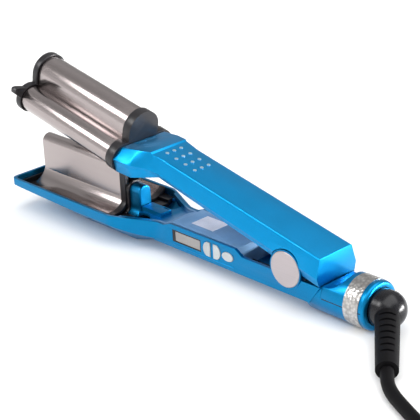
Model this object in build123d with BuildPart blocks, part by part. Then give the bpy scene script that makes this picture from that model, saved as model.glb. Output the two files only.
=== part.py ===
"""Hair waver: a spring-opened hair tool with a hot ridge plate below and a hot barrel plate above.

Frame: +X runs from the jaws to the cord, -Y is the side with the display and the buttons, +Z is up.
The origin is the middle of the flat rest pad under the lower jaw. Sizes are in millimetres.
Stations along the tool and heights in the jaws are given from the hinge axis.
The upper arm is drawn closed, lying along X, and is turned open about the hinge before it is written.
"""
from build123d import *
import os
from math import cos, pi, radians, sin, sqrt

# Hinge and overall reach
hinge_x = 158.0            # hinge axis, behind the middle of the rest pad
hinge_z = 25.6             # hinge axis, above the surface that the tool rests on
open_angle = 12.0          # degrees between the open arm and the closed one
jaw_reach = 243.5          # hinge axis to the tip of the lower jaw
collar_reach = 57.5        # hinge axis to the end face of the collar

# Lower casing
jaw_half = 29.0            # half the width of the lower jaw
jaw_rim_z = 22.8
jaw_wall = 1.9
jaw_rear = 142.0           # hinge to the rear of the wide part of the jaw
neck_reach = 112.0         # hinge to the place where the jaw has narrowed to the handle
shoulder_r = 14.0
neck_r = 14.0
corner_r = 4.0
pad_half_width = 8.0
pad_front = 30.0           # rest pad ahead of the origin
pad_rear = 18.0            # rest pad behind the origin
wall_foot_z = 16.5         # lower edge of the jaw's upright wall
chine_z = 12.6             # lower edge of the curve below it
chine_inset = 5.0
foot_follow = 0.2          # share of the keel's rise that the wall's foot follows
chine_follow = 0.4
tip_rise = 8.6             # height of the keel at the tip
handle_half = 15.1
handle_wall = 2.0
handle_floor_z = 9.7
handle_rim_z = 25.3
rear_rim_z = 21.6
step_front = 99.0          # hinge to the step where the handle's rim begins
step_rear = 42.0           # hinge to the step where the rim drops again
step_run = 6.0
facet_foot = 17.6          # hinge to the lower end of the slanted rear facet
facet_top = 25.7

# Collar, swivel and sleeve
collar_r = 14.8
collar_z = 15.05           # collar axis above the rest surface
collar_bore = 11.5
collar_start = 14.0
cover_front = 26.0
collar_edge_r = 2.2
band_width = 10.8
band_inset = 4.2           # band to the collar's end face
band_t = 0.9
band_proud = 0.25
dip_r = 12.0               # hollow in the rear cover under the arm's rear end
dip_at = 28.0
dip_z = 34.0
bore_inset = 19.0          # depth of the rear cover's bore
journal_r = 8.5
journal_bore = 5.0
flange_r = 10.2
running_gap = 0.06
socket_inset = 1.5         # socket to the collar's end face
socket_length = 16.5
flange_t = 2.0
dome_r = 11.2
elbow_out = 5.0            # collar's end face to the corner of the elbow
sleeve_end = 54.0          # elbow corner to the end of the sleeve
sleeve_r0 = 7.2
sleeve_r1 = 6.3
sleeve_bore = 3.9
groove_pitch = 5.3
groove_width = 1.5
groove_count = 7
groove_first = 12.0
groove_core = 5.2
face_gap = 0.3             # between faces of pieces that move against each other

# Hot plates, heights from the hinge axis
lobe_r = 10.8
lobe_h = 19.8
barrel_r = 8.8
barrel_y = 15.4
barrel_h = 4.5
trough_r = 11.4            # rounds of the lower plate, each side of its ridge
trough_y = 16.2
trough_h = 3.2
hair_gap = 1.0
ridge_r = 5.5
ridge_h = 17.6
plate_t = 1.8
plate_edge_y = 26.9
chamber_r = 6.6
valley_r = 2.4
trough_run_angle = 35.0    # slope of the trough's outer run
upper_front_inset = 6.1    # jaw's tip to the front of the upper plate
upper_rear = 147.0
lower_front_inset = 7.5    # jaw's tip to the front of the lower plate
lower_rear = 154.5
front_cap_inset = 3.3      # jaw's tip to the front cap's outer face
front_cap_length = 4.6
rear_cap_front = 149.0
rear_cap_end = 142.5
cap_lobe_proud = 1.3
cap_barrel_proud = 1.1
cap_barrel_out = -0.2      # shift of the cap's barrel circle, outward
cap_barrel_up = -0.2       # and upward
tab_reach_y = 29.4
tab_top_h = 14.6
tab_foot_h = 6.4
frame_rear = 149.5
frame_proud = 1.7
frame_proud_low = 0.5
relief_gap = 0.6
relief_lead = 2.0          # relief starts this far ahead of the ridge's end frame
fit_gap = 0.15
opening_half = 6.8         # opening in the rear cap and the shoulder for the bridge
opening_h = 12.0

# Jaw bridge, deck and plate carrier
bridge_half = 5.0
bridge_top_h = 10.2
bridge_rear = 138.0
bridge_flare = 4.5         # radius of the curve that spreads the bridge's foot
bridge_flare_z = 21.0      # height where the spread begins
collar_arch_half = 6.3     # dark arch ahead of the bridge
collar_arch_top_h = 11.3
collar_arch_rear = 147.2
deck_front = 137.0
deck_low_z = 22.8
deck_floor_z = 19.6        # floor of the deck's sunken front part
deck_floor_rear = 112.0
deck_wall = 1.5
rib_half = 4.5             # raised rib behind the bridge
rib_rear = 119.0
recess_at = 131.5          # round opening on each side of the rib
recess_y = 14.5
recess_r = 9.0
deck_high_z = 25.4
deck_t = 1.6
deck_rear = 41.0
carrier_floor_z = 12.0
carrier_wall_gap = 0.6     # under the front cap's barrels when the arm is closed
carrier_wall_t = 1.7
rail_top_z = 18.2
rail_inner_y = 24.5
beam_half = 2.5            # half the width of the carrier's long beams
carrier_rear = 140.0

# Upper arm, heights from the hinge axis
arm_joint = 110.0          # hinge to the place where the shoulder begins
arm_rear = 21.5            # hinge to the top of the arm's rear face
arm_rear_slope = 0.25
arm_top_half = 13.5
arm_low_half = 16.7
arm_foot_half = 15.2
arm_top_h = 18.0
arm_low_h = 6.8
arm_belly_h = 2.6          # underside at the hinge
arm_belly_rise = 0.029     # underside rises towards the jaws by this per millimetre
arm_wall = 2.0
arm_edge_r = 1.2
shoulder_top_half = 18.0
shoulder_half = 24.5
shoulder_foot_half = 21.0
shoulder_top_h = 12.4
shoulder_mid_h = 6.0
shoulder_low_h = -4.0
shoulder_rear = 129.0      # hinge to the rear of the shoulder's full depth
shoulder_rear_top_half = 17.0
shoulder_rear_top_h = 16.4
shoulder_rear_half = 23.2
shoulder_rear_mid_h = 7.6
shoulder_rear_foot_half = 20.6
shoulder_rear_low_h = -2.1
ledge_at = 119.6           # hinge to the ledge between the shoulder and the arm's top
ledge_run = 1.2
ledge_rise = 0.8
ledge_top_half = 14.8
ledge_half = 18.6
ledge_mid_h = 8.6
ledge_foot_half = 17.2
ledge_low_h = 1.5
seam_lift = 2.4            # seam between the arm's shells above its underside
shoulder_seam_h = 4.5
tunnel_wall = 1.4
cover_rear = 15.0          # hinge to the rear end of the arm's lower cover

# Hinge
ear_r = 12.0
ear_inner = 13.0
ear_outer = 16.1
ear_clearance = 0.5
lug_outer = 12.5
lug_inner = 9.4
lug_r = 8.6
pin_r = 3.0
cap_r = 11.2
cap_t = 1.3
cap_dome = 0.6
spring_r = 4.9
spring_wire = 1.3
spring_turns = 8

# Display and buttons on the near wall
display_at = 84.3
display_length = 25.4
display_height = 8.0
panel_z = 18.2
button_height = 9.2
button_length = 6.0
button_down_at = 66.2
button_up_at = 57.4
power_at = 48.2
power_length = 9.2
power_height = 5.8
button_proud = 0.6
button_gap = 0.2
button_travel = 0.5
button_flange = 0.8
button_flange_t = 0.8
board_t = 1.2
board_y = -9.3
board_front = 98.0
board_rear = 44.0
board_height = 9.4
label_at = 79.5
label_length = 19.0
label_width = 14.0
label_y = 1.0
label_t = 0.4

# Screws
screw_head_r = 2.8
screw_head_t = 2.2
screw_r = 1.5
boss_r = 3.3
casing_screw_at = (93.0, 56.0)
arm_screw_at = (104.0, 40.0)
arm_screw_length = 6.0
casing_screw_length = 9.0

# Grip dots
dot_r = 1.15
dot_t = 0.35
dot_at = 101.6
dot_pitch_x = 8.25
dot_pitch_y = 5.8

# Heaters
heater_front_gap = 12.6    # front cap to the heaters
heater_rear_gap = 10.0     # rear end of the upper plate to the heaters
heater_t = 4.6
heater_width = 10.0
lower_heater_half = 2.4
sensor_length = 8.0
sensor_lead = 6.0          # sensor's front ahead of the heaters' middle
sensor_y0 = 8.0
sensor_y1 = 12.4
sensor_t = 2.2

# Leads from the cord to the board
lead_gap = 2.0             # ahead of the deck's rear wall
lead_half = 1.1
lead_t = 2.15
lead_y = (-4.6, -1.4)

# Mains cord
cord_r = 3.75
coil_pitch = 7.5
coil_mean_r = 41.0
coil_x = 236.0             # coil centre behind the hinge
coil_y = -64.0
plug_length = 30.0
plug_width = 22.0
plug_t = 12.4
blade_length = 17.5
blade_height = 6.35
blade_t = 1.5
blade_spacing = 12.7

# Sizes that follow from the ones above
band_rear = collar_reach - band_inset
band_front = band_rear - band_width
bore_front = collar_reach - bore_inset
socket_rear = collar_reach - socket_inset
socket_front = socket_rear - socket_length
elbow_at = collar_reach + elbow_out
upper_front = jaw_reach - upper_front_inset
lower_front = jaw_reach - lower_front_inset
front_cap_end = jaw_reach - front_cap_inset
front_cap_rear = front_cap_end - front_cap_length
carrier_wall_z = hinge_z + barrel_h + cap_barrel_up - barrel_r - cap_barrel_proud - carrier_wall_gap
lead_front = deck_rear + lead_gap
heater_front = front_cap_rear - heater_front_gap
heater_rear = upper_rear + heater_rear_gap
heater_length = heater_front - heater_rear
heater_at = (heater_front + heater_rear) / 2

os.makedirs("parts", exist_ok=True)
hinge_axis = Axis((hinge_x, 0, hinge_z), (0, 1, 0))


def X(reach):
    """Station along the tool from the hinge axis, towards the cord."""
    return hinge_x + reach


def H(height):
    """Height above the hinge axis."""
    return hinge_z + height


def write(part, name):
    part.label = name
    export_step(part, f"parts/{name}.step")


def write_arm(part, name):
    """Turn a piece that was drawn closed to the open position and write it."""
    write(part.rotate(hinge_axis, open_angle), name)


def section(reach):
    """A plane across the tool at a station, with local x along Y and local y along Z."""
    return Plane.YZ.offset(X(reach))


def side(y):
    """A plane along the tool at a given Y, with local x along X and local y along Z, facing -Y."""
    return Plane(origin=(0, y, 0), x_dir=(1, 0, 0), z_dir=(0, -1, 0))


def box(x0, x1, y0, y1, z0, z1):
    """A block between two corners."""
    with BuildPart() as block:
        with Locations(((x0 + x1) / 2, (y0 + y1) / 2, (z0 + z1) / 2)):
            Box(abs(x1 - x0), abs(y1 - y0), abs(z1 - z0))
    return block.part


def prism_y(points, half, y=0.0):
    """A block with the given outline in X and Z, between y - half and y + half."""
    with BuildPart() as block:
        with BuildSketch(side(y)):
            with BuildLine():
                Polyline(*points, close=True)
            make_face()
        extrude(amount=half, both=True)
    return block.part


def disc_y(radius, y0, y1, x, z):
    """A round block along Y."""
    with BuildPart() as block:
        with BuildSketch(side(y1)):
            with Locations((x, z)):
                Circle(radius)
        extrude(amount=y1 - y0)
    return block.part


def tube_x(outer, inner, start, end):
    """A round tube on the collar's axis."""
    with BuildPart() as block:
        with BuildSketch(section(start)):
            with Locations((0, collar_z)):
                Circle(outer)
                if inner:
                    Circle(inner, mode=Mode.SUBTRACT)
        extrude(amount=end - start)
    return block.part


# ---------------------------------------------------------------- forms of the lower half
def jaw_form(inset, top):
    """The jaw's hull in five ruled sections, trimmed to its plan."""
    half = jaw_half - inset
    flat = pad_half_width - inset * 0.3
    pad_start = -hinge_x - pad_front
    tip = -jaw_reach + inset
    stations = (
        (tip, tip_rise), (tip + 10, tip_rise * 0.72), (pad_start, 0.0),
        (-hinge_x + pad_rear, 0.0), (-neck_reach + 6, handle_floor_z),
    )
    with BuildPart() as form:
        for reach, rise in stations:
            foot = min(wall_foot_z + rise * foot_follow + inset * 0.5, jaw_rim_z - 2)
            chine = min(chine_z + rise * chine_follow + inset * 0.95, foot - 1)
            with BuildSketch(section(reach)):
                with BuildLine():
                    Polyline(
                        (-half, top), (-half, foot), (-half + chine_inset, chine), (-flat, rise + inset),
                        (flat, rise + inset), (half - chine_inset, chine), (half, foot), (half, top),
                        close=True,
                    )
                make_face()
        loft(ruled=True)
        with BuildSketch(Plane.XY) as plan:
            with BuildLine():
                nose = X(tip)
                narrow = handle_half - inset
                Polyline(
                    (nose, -half), (X(-jaw_rear), -half), (X(-neck_reach), -narrow),
                    (X(-neck_reach + 6), -narrow), (X(-neck_reach + 6), narrow), (X(-neck_reach), narrow),
                    (X(-jaw_rear), half), (nose, half), close=True,
                )
            make_face()
            wide = plan.vertices().group_by(Axis.X)
            fillet(wide[0], radius=corner_r)
            fillet(plan.vertices().filter_by_position(Axis.X, X(-jaw_rear) - 0.1, X(-jaw_rear) + 0.1),
                   radius=shoulder_r)
            fillet(plan.vertices().filter_by_position(Axis.X, X(-neck_reach) - 0.1, X(-neck_reach) + 0.1),
                   radius=neck_r)
        extrude(amount=80, mode=Mode.INTERSECT)
    return form.part


def handle_form(inset, top):
    """The handle's straight channel, with its slanted rear end."""
    slope = (facet_top - facet_foot) / (rear_rim_z - handle_floor_z)
    foot = facet_foot - inset
    return prism_y(
        ((X(-neck_reach - 3), handle_floor_z + inset), (X(foot + inset * slope), handle_floor_z + inset),
         (X(foot + (top - handle_floor_z) * slope), top), (X(-neck_reach - 3), top)),
        handle_half - inset,
    )


def button_outline(length, height, face):
    """A button outline with one straight end and one round end; face is the round end's side."""
    with BuildSketch(mode=Mode.PRIVATE) as outline:
        with BuildLine():
            Polyline((0, height / 2), (-face * length / 2, height / 2), (-face * length / 2, -height / 2),
                     (0, -height / 2))
            ThreePointArc((0, -height / 2), (face * length / 2, 0), (0, height / 2))
        make_face()
    return outline.sketch


def button_bar(name, grow, y0, y1):
    """The body of one button, grown all round, between two depths in Y."""
    at = {"down": button_down_at, "up": button_up_at, "power": power_at}[name]
    with BuildPart() as bar:
        with BuildSketch(side(y1)):
            with Locations((X(-at), panel_z)):
                if name == "power":
                    Ellipse(power_length / 2 + grow, power_height / 2 + grow)
                else:
                    add(button_outline(button_length + 2 * grow, button_height + 2 * grow,
                                       -1 if name == "down" else 1))
        extrude(amount=y1 - y0)
    return bar.part


near_face = -handle_half
near_inner = -handle_half + handle_wall
dip = disc_y(dip_r, -30, 30, X(dip_at), dip_z)
with BuildPart() as collar:
    add(tube_x(collar_r, 0, collar_start, collar_reach))
    fillet(collar.edges().filter_by(GeomType.CIRCLE).sort_by(Axis.X)[-1], radius=collar_edge_r)
    add(tube_x(collar_r + 2, collar_r + band_proud - band_t, band_front, band_rear), mode=Mode.SUBTRACT)

with BuildPart() as lower_casing:
    add(jaw_form(0, jaw_rim_z))
    add(handle_form(0, handle_rim_z))
    add(collar.part)
    # rim: high along the control panel, lower over the jaw and at the hinge
    add(prism_y(((X(-jaw_reach - 5), jaw_rim_z), (X(-step_front - step_run), jaw_rim_z),
                 (X(-step_front), handle_rim_z), (X(-step_rear), handle_rim_z),
                 (X(-step_rear + step_run), rear_rim_z), (X(cover_front), rear_rim_z),
                 (X(cover_front), collar_z), (X(collar_reach + 5), collar_z),
                 (X(collar_reach + 5), 80), (X(-jaw_reach - 5), 80)), 60), mode=Mode.SUBTRACT)
    add(jaw_form(jaw_wall, 60), mode=Mode.SUBTRACT)
    add(handle_form(handle_wall, 60), mode=Mode.SUBTRACT)
    add(tube_x(collar_bore, 0, collar_start + handle_wall, collar_reach + 1), mode=Mode.SUBTRACT)
    # hinge ears with their bore and the seats of the round caps
    add(disc_y(ear_r, -ear_outer, -ear_inner, hinge_x, hinge_z))
    add(disc_y(ear_r, ear_inner, ear_outer, hinge_x, hinge_z))
    add(disc_y(pin_r, -20, 20, hinge_x, hinge_z), mode=Mode.SUBTRACT)
    add(disc_y(cap_r + 0.1, -ear_outer - 1, -ear_outer + cap_t, hinge_x, hinge_z), mode=Mode.SUBTRACT)
    add(disc_y(cap_r + 0.1, ear_outer - cap_t, ear_outer + 1, hinge_x, hinge_z), mode=Mode.SUBTRACT)
    # display window and button openings
    add(box(X(-display_at - display_length / 2), X(-display_at + display_length / 2), near_face - 1,
            near_inner + 1, panel_z - display_height / 2, panel_z + display_height / 2), mode=Mode.SUBTRACT)
    for name in ("down", "up", "power"):
        add(button_bar(name, button_gap, near_face - 1, near_inner + 1), mode=Mode.SUBTRACT)
    # counterbored screw holes
    for at in casing_screw_at:
        with Locations((X(-at), 0, handle_floor_z)):
            Cylinder(screw_head_r + 0.2, 2 * 1.2, mode=Mode.SUBTRACT)
            Cylinder(screw_r + 0.2, 20, mode=Mode.SUBTRACT)
write(lower_casing.part, "lower_casing")

with BuildPart() as rear_cover:
    add(collar.part)
    add(prism_y(((X(cover_front + fit_gap), collar_z), (X(collar_reach + 5), collar_z),
                 (X(collar_reach + 5), 80), (X(cover_front + fit_gap), 80)), 60), mode=Mode.INTERSECT)
    add(tube_x(collar_bore, 0, bore_front, collar_reach + 1), mode=Mode.SUBTRACT)
    add(box(X(collar_start), X(bore_front + 1), -collar_bore + 3, collar_bore - 3, 0, collar_z + 4.5),
        mode=Mode.SUBTRACT)
    add(dip, mode=Mode.SUBTRACT)
write(rear_cover.part, "rear_cover")

with BuildPart() as collar_band:
    add(tube_x(collar_r + band_proud, collar_r + band_proud - band_t, band_front, band_rear))
write(collar_band.part, "collar_band")

with BuildPart() as swivel_socket:
    add(tube_x(collar_bore, journal_r + running_gap, socket_front + flange_t, socket_rear))
write(swivel_socket.part, "swivel_socket")

# ---------------------------------------------------------------- swivel elbow and sleeve
sleeve_path = Vector(34.1, -41.3, -8.4).normalized()
elbow = Vector(X(elbow_at), 0, collar_z)


def sleeve_plane(distance):
    """A plane across the sleeve, at a distance from the elbow's corner."""
    return Plane(origin=elbow + sleeve_path * distance, z_dir=sleeve_path)


def sleeve_tube(r0, r1, start, end):
    with BuildPart() as block:
        with BuildSketch(sleeve_plane(start)):
            Circle(r0)
        with BuildSketch(sleeve_plane(end)):
            Circle(r1)
        loft(ruled=True)
    return block.part


with BuildPart() as ball:
    with Locations(elbow):
        Sphere(dome_r)

with BuildPart() as swivel_elbow:
    add(ball.part)
    add(tube_x(dome_r, 0, collar_reach + face_gap, elbow_at))
    add(box(X(elbow_at - 2 * dome_r), X(collar_reach + face_gap), -2 * dome_r, 2 * dome_r, collar_z - 2 * dome_r,
            collar_z + 2 * dome_r), mode=Mode.SUBTRACT)
    add(tube_x(journal_r, 0, socket_front, collar_reach + 2))
    add(tube_x(flange_r, 0, socket_front - running_gap, socket_front + flange_t - running_gap))
    add(tube_x(journal_bore, 0, socket_front - 1, elbow_at), mode=Mode.SUBTRACT)
    add(sleeve_tube(sleeve_bore, sleeve_bore, 0, 2 * dome_r), mode=Mode.SUBTRACT)
write(swivel_elbow.part, "swivel_elbow")

with BuildPart() as cord_sleeve:
    add(sleeve_tube(sleeve_r0, sleeve_r1, 8.0, sleeve_end))
    add(ball.part, mode=Mode.SUBTRACT)
    # half-ring grooves, staggered on the two sides
    for number in range(groove_count):
        for turn in (0, 1):
            at = groove_first + (number + turn / 2) * groove_pitch
            with BuildSketch(sleeve_plane(at)) as ring:
                Circle(sleeve_r0 + 1)
                Circle(groove_core, mode=Mode.SUBTRACT)
                with Locations((0, (1 if turn else -1) * (groove_core + 5.0))):
                    Rectangle(30, 10, mode=Mode.INTERSECT)
            extrude(amount=groove_width, mode=Mode.SUBTRACT)
    add(sleeve_tube(sleeve_bore, sleeve_bore, 0, sleeve_end + 1), mode=Mode.SUBTRACT)
write(cord_sleeve.part, "cord_sleeve")


# ---------------------------------------------------------------- plates
def plate_profile(reach, half, arch_half, arch_h=None):
    """Outline of the upper jaw: a tall lobe between two barrels, less the arch. Half is the growth."""
    lobe, barrel, out, up = half
    with BuildSketch(section(reach)) as profile:
        with Locations((0, H(lobe_h))):
            Circle(lobe)
        with Locations((0, H(lobe_h / 2))):
            Rectangle(2 * lobe, lobe_h)
        with Locations((barrel_y + out, H(barrel_h + up)), (-barrel_y - out, H(barrel_h + up))):
            Circle(barrel)
        if valley_r:
            valleys = [v for v in profile.vertices() if abs(abs(v.Y) - lobe) < 0.05 and v.Z > H(barrel_h + 3)]
            fillet(valleys, radius=valley_r)
        with Locations((0, H(-15))):
            Rectangle(2 * arch_half, 2 * (15 + (ridge_h if arch_h is None else arch_h)), mode=Mode.SUBTRACT)
        if arch_h is None:
            with Locations((0, H(ridge_h))):
                Circle(arch_half, mode=Mode.SUBTRACT)
    return profile.sketch


plate_form = (lobe_r, barrel_r, 0.0, 0.0)
cap_form = (lobe_r + cap_lobe_proud, barrel_r + cap_barrel_proud, cap_barrel_out, cap_barrel_up)
pocket_form = (lobe_r + 0.1, barrel_r + 0.1, 0.0, 0.0)
arch_half = ridge_r + hair_gap

with BuildPart() as upper_plate:
    extrude(plate_profile(-upper_front, plate_form, arch_half), upper_front - upper_rear, dir=(1, 0, 0))
    relief_half = ridge_r + frame_proud + relief_gap
    with BuildSketch(section(-lower_rear - relief_lead)):
        with Locations((0, H(ridge_h))):
            Circle(relief_half)
        with Locations((0, H(0))):
            Rectangle(2 * relief_half, 2 * ridge_h)
    extrude(amount=20, mode=Mode.SUBTRACT)
    with BuildSketch(section(-upper_front)):
        with Locations((barrel_y, H(barrel_h)), (-barrel_y, H(barrel_h))):
            Circle(chamber_r)
    extrude(amount=upper_front - upper_rear, mode=Mode.SUBTRACT)
write_arm(upper_plate.part, "upper_plate")

with BuildPart() as front_pocket:
    extrude(plate_profile(-upper_front - 0.1, pocket_form, arch_half - 0.1), 20, dir=(1, 0, 0))

with BuildPart() as rear_pocket:
    extrude(plate_profile(-rear_cap_front - 10, pocket_form, 0.01),
            rear_cap_front + 10 - upper_rear + 0.1, dir=(1, 0, 0))

with BuildPart() as upper_front_cap:
    extrude(plate_profile(-front_cap_end, cap_form, arch_half), front_cap_end - front_cap_rear,
            dir=(1, 0, 0))
    # finger tab on the near side
    with BuildSketch(section(-front_cap_end)):
        with BuildLine():
            Polyline(
                (-barrel_y, H(tab_top_h - 3)), (-tab_reach_y + 3, H(tab_top_h)), (-tab_reach_y + 0.8, H(tab_top_h)),
                (-tab_reach_y, H(tab_top_h - 1)), (-tab_reach_y, H(tab_top_h - 3.4)),
                (-tab_reach_y + 5.4, H(tab_foot_h)), close=True,
            )
        make_face()
    extrude(amount=front_cap_end - front_cap_rear)
    add(front_pocket.part, mode=Mode.SUBTRACT)
write_arm(upper_front_cap.part, "upper_front_cap")

with BuildPart() as upper_rear_cap:
    extrude(plate_profile(-rear_cap_front, cap_form, opening_half, opening_h),
            rear_cap_front - rear_cap_end, dir=(1, 0, 0))
    add(rear_pocket.part, mode=Mode.SUBTRACT)
write_arm(upper_rear_cap.part, "upper_rear_cap")

with BuildPart() as upper_heaters:
    for y in (barrel_y, -barrel_y):
        add(box(X(-heater_at - heater_length / 2), X(-heater_at + heater_length / 2), y - heater_width / 2,
                y + heater_width / 2, H(barrel_h - heater_t / 2), H(barrel_h + heater_t / 2)))
write_arm(upper_heaters.part, "upper_heaters")

with BuildPart() as heater_clips:
    for y in (barrel_y, -barrel_y):
        with BuildSketch(section(-heater_at - heater_length / 2 + 4)) as clip:
            with Locations((y, H(barrel_h))):
                Circle(chamber_r - 0.02)
                Rectangle(2 * chamber_r, heater_t + 0.04, mode=Mode.SUBTRACT)
        extrude(amount=heater_length - 8)
write_arm(heater_clips.part, "heater_clips")


def trough_profile(reach, rise, low_rise, thickness, edge_y):
    """Section of the lower plate: a tall ridge and a trough each side, as a sheet of one thickness."""
    def path(drop, low_drop):
        ridge = ridge_r + rise - drop
        trough = trough_r - low_rise + low_drop
        slope = radians(trough_run_angle)
        turn = radians(-90.0 + trough_run_angle)
        foot_h = trough_h - sqrt(trough ** 2 - (trough_y - ridge) ** 2)
        run_y = trough_y + trough * cos(turn)
        run_h = trough_h + trough * sin(turn)
        edge_h = run_h + (edge_y - run_y) * sin(slope) / cos(slope)
        entry = radians(-90.0 - 40.0)
        mid = (trough_y + trough * cos(entry), trough_h + trough * sin(entry))
        return ridge, foot_h, mid, run_y, run_h, edge_h

    outer = path(0, 0)
    inner = path(thickness, thickness)
    with BuildSketch(section(reach)) as profile:
        with BuildLine():
            for turn in (1, -1):
                for ridge, foot_h, mid, run_y, run_h, edge_h in (outer, inner):
                    Line((turn * ridge, H(ridge_h)), (turn * ridge, H(foot_h)))
                    ThreePointArc((turn * ridge, H(foot_h)), (turn * mid[0], H(mid[1])),
                                  (turn * run_y, H(run_h)))
                    Line((turn * run_y, H(run_h)), (turn * edge_y, H(edge_h)))
                Line((turn * edge_y, H(outer[5])), (turn * edge_y, H(inner[5])))
            for ridge, *rest in (outer, inner):
                ThreePointArc((-ridge, H(ridge_h)), (0, H(ridge_h + ridge)), (ridge, H(ridge_h)))
        make_face()
    return profile.sketch


with BuildPart() as lower_plate:
    extrude(trough_profile(-lower_front, 0, 0, plate_t, plate_edge_y), lower_front - lower_rear,
            dir=(1, 0, 0))
write(lower_plate.part, "lower_plate")

rib_top_z = H(trough_h - trough_r - plate_t) - 0.15
rib_floor_z = rib_top_z + 0.6


def arch_outline(reach, half, top, flare_r):
    """A round-topped arch across the tool, whose feet spread to each side in a curve."""
    def at(degrees):
        turn = radians(degrees)
        return half + flare_r * (1 - cos(turn)), bridge_flare_z - flare_r * sin(turn)

    foot_y, foot_z = at(70)
    with BuildSketch(section(reach)) as outline:
        with BuildLine():
            Line((-foot_y, rib_floor_z), (foot_y, rib_floor_z))
            for turn in (1, -1):
                Line((turn * foot_y, rib_floor_z), (turn * foot_y, foot_z))
                ThreePointArc((turn * foot_y, foot_z), (turn * at(35)[0], at(35)[1]), (turn * half, bridge_flare_z))
                Line((turn * half, bridge_flare_z), (turn * half, top - half))
            ThreePointArc((half, top - half), (0, top), (-half, top - half))
        make_face()
    return outline.sketch


with BuildPart() as ridge_end_frame:
    extrude(trough_profile(-lower_rear, frame_proud, frame_proud_low, plate_t + frame_proud_low, plate_edge_y),
            lower_rear - frame_rear, dir=(1, 0, 0))
    # lower arch that hugs the bridge
    extrude(arch_outline(-frame_rear, collar_arch_half, H(collar_arch_top_h), bridge_flare),
            frame_rear - collar_arch_rear, dir=(1, 0, 0))
write(ridge_end_frame.part, "ridge_end_frame")

with BuildPart() as plate_carrier:
    front = -jaw_reach + jaw_wall + fit_gap
    add(box(X(front), X(front + carrier_wall_t), -40, 40, carrier_floor_z - 4, carrier_wall_z))
    add(box(X(front), X(-lower_front + 1.0), -40, 40, carrier_floor_z - 2, rib_top_z))
    for turn in (1, -1):
        add(box(X(front), X(-carrier_rear), turn * trough_y - beam_half, turn * trough_y + beam_half,
                carrier_floor_z - 2, rib_top_z))
        add(box(X(front), X(-carrier_rear), turn * rail_inner_y, turn * 40, carrier_floor_z, rail_top_z))
        add(box(X(-frame_rear + 0.1), X(-carrier_rear), turn * (rail_inner_y - 4), turn * 40,
                carrier_floor_z, rail_top_z))
    add(box(X(-frame_rear + 0.1), X(-carrier_rear), -40, 40, carrier_floor_z - 2, rib_floor_z))
    add(box(X(-lower_rear - 4), X(-lower_rear + 4), -40, 40, carrier_floor_z - 2, rib_top_z))
    add(jaw_form(jaw_wall + fit_gap, 60), mode=Mode.INTERSECT)
    # plug that closes the front of the ridge
    plug_half = ridge_r - plate_t - 0.1
    with BuildSketch(section(-lower_front)):
        with Locations((0, H(ridge_h))):
            Circle(plug_half)
        with Locations((0, (rib_top_z - 1 + H(ridge_h)) / 2)):
            Rectangle(2 * plug_half, H(ridge_h) - rib_top_z + 1)
    extrude(amount=3.0)
write(plate_carrier.part, "plate_carrier")

with BuildPart() as lower_heater:
    add(box(X(-heater_at - heater_length / 2), X(-heater_at + heater_length / 2), -lower_heater_half,
            lower_heater_half, H(1), H(ridge_h + 0.5)))
write(lower_heater.part, "lower_heater")

with BuildPart() as heater_clamp:
    add(box(X(-heater_at - heater_length / 2 + 3), X(-heater_at + heater_length / 2 - 3),
            -plug_half, plug_half, H(-1.5), H(ridge_h - 1.5)))
    add(box(X(-heater_at - heater_length), X(-heater_at + heater_length), -lower_heater_half - 0.05,
            lower_heater_half + 0.05, H(0.95), H(ridge_h + 1.5)), mode=Mode.SUBTRACT)
write(heater_clamp.part, "heater_clamp")

with BuildPart() as lower_sensor:
    add(box(X(-heater_at - sensor_lead), X(-heater_at - sensor_lead + sensor_length), sensor_y0, sensor_y1,
            rib_top_z - sensor_t, rib_top_z))
write(lower_sensor.part, "lower_sensor")

with BuildPart() as upper_sensor:
    add(box(X(-heater_at - heater_length / 2 - 5), X(-heater_at - heater_length / 2 - 1), -barrel_y - 3,
            -barrel_y + 3, H(barrel_h - 2), H(barrel_h + 2)))
write_arm(upper_sensor.part, "upper_sensor")

# ---------------------------------------------------------------- bridge and deck
with BuildPart() as jaw_bridge:
    extrude(arch_outline(-collar_arch_rear, bridge_half, H(bridge_top_h), bridge_flare),
            collar_arch_rear - bridge_rear, dir=(1, 0, 0))
    rear_face = jaw_bridge.faces().sort_by(Axis.X)[-1]
    fillet([edge for edge in rear_face.edges() if (edge @ 0.5).Z > bridge_flare_z], radius=1.2)
write(jaw_bridge.part, "jaw_bridge")

# the deck: a sunken tray at the front, then a slope up to the level part under the controls
tray_wall = jaw_wall + fit_gap + deck_wall
with BuildPart() as tray_space:
    add(jaw_form(tray_wall, 60))
    add(handle_form(handle_wall + fit_gap + deck_wall, 60))
    add(prism_y(((X(-deck_front - 1), deck_floor_z), (X(-deck_floor_rear), deck_floor_z),
                 (X(-step_front), deck_high_z), (X(-step_front), 60), (X(-deck_front - 1), 60)), 60),
        mode=Mode.INTERSECT)
    add(box(X(-deck_front - 2), X(-rib_rear), -rib_half, rib_half, 0, deck_low_z), mode=Mode.SUBTRACT)

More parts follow.
